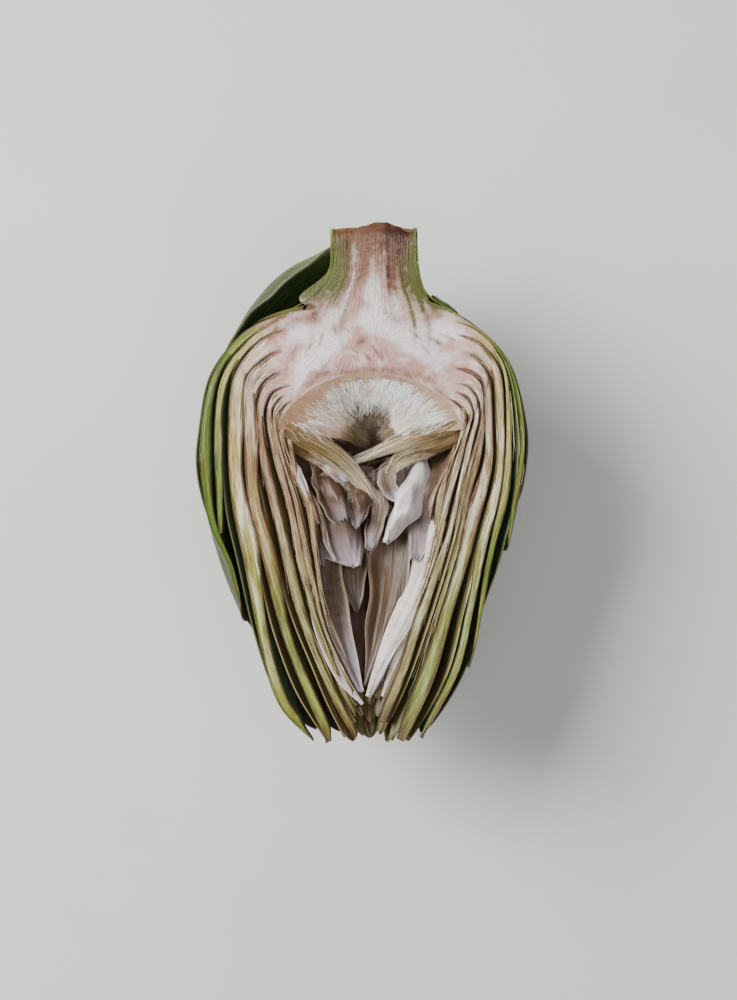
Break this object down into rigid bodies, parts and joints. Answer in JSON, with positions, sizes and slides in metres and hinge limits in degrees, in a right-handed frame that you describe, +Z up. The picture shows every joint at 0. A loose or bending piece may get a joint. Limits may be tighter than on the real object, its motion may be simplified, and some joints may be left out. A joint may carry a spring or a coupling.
{
  "type": "halved globe artichoke",
  "caption": "Half of a globe artichoke head, cut lengthwise and lying cut face up, with layered bracts, a fleshy heart, a choke of hairs and a short stem.",
  "frame": {"origin": "middle of the small flat spot under the belly that the half rests on", "axes": "+Z up, square to the cut face; +Y along the head towards the cut stem, -Y towards the tips of the bracts; +X to the right of the cut face seen from above with the stem away from the viewer"},
  "size_m": [0.0929, 0.1397, 0.0462],
  "materials": {
    "heart_flesh": "moist cut flesh, cream to pink with brown blotches where it has met the air",
    "green_bract": "leathery green bracts with a thin grey down outside and a pale yellow-green cut edge",
    "pale_bract": "thin pale bracts, cream to mauve, browned along the cut edges",
    "choke_hair": "dense cream hairs"
  },
  "bodies": {
    "root": {"heart_and_stem": "heart_flesh", "outer_bracts": "green_bract", "inner_bracts": "pale_bract", "choke": "choke_hair"}
  },
  "joints": []
}
